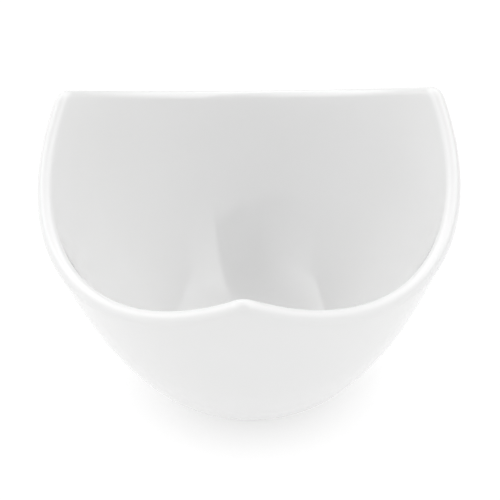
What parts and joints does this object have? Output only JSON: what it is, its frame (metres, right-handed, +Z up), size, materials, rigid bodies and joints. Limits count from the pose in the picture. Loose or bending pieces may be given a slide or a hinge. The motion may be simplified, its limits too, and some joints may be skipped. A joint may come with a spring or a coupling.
{
  "type": "evaporating dish",
  "caption": "Deep round glazed porcelain dish with a narrow foot ring; slanted cuts give its rolled rim raised points and low curved sides.",
  "frame": {"origin": "on the dish's axis, in the plane that the foot ring stands on", "axes": "+Z up along the dish's axis, -Y towards one of the rim's three points"},
  "size_m": [0.1388, 0.1412, 0.0902],
  "materials": {
    "bisque": "matt, bare fired porcelain",
    "glaze": "gloss, clear glaze over white porcelain"
  },
  "bodies": {
    "root": {"porcelain_body": "bisque", "glaze_coat": "glaze", "base_glaze": "glaze"}
  },
  "joints": []
}
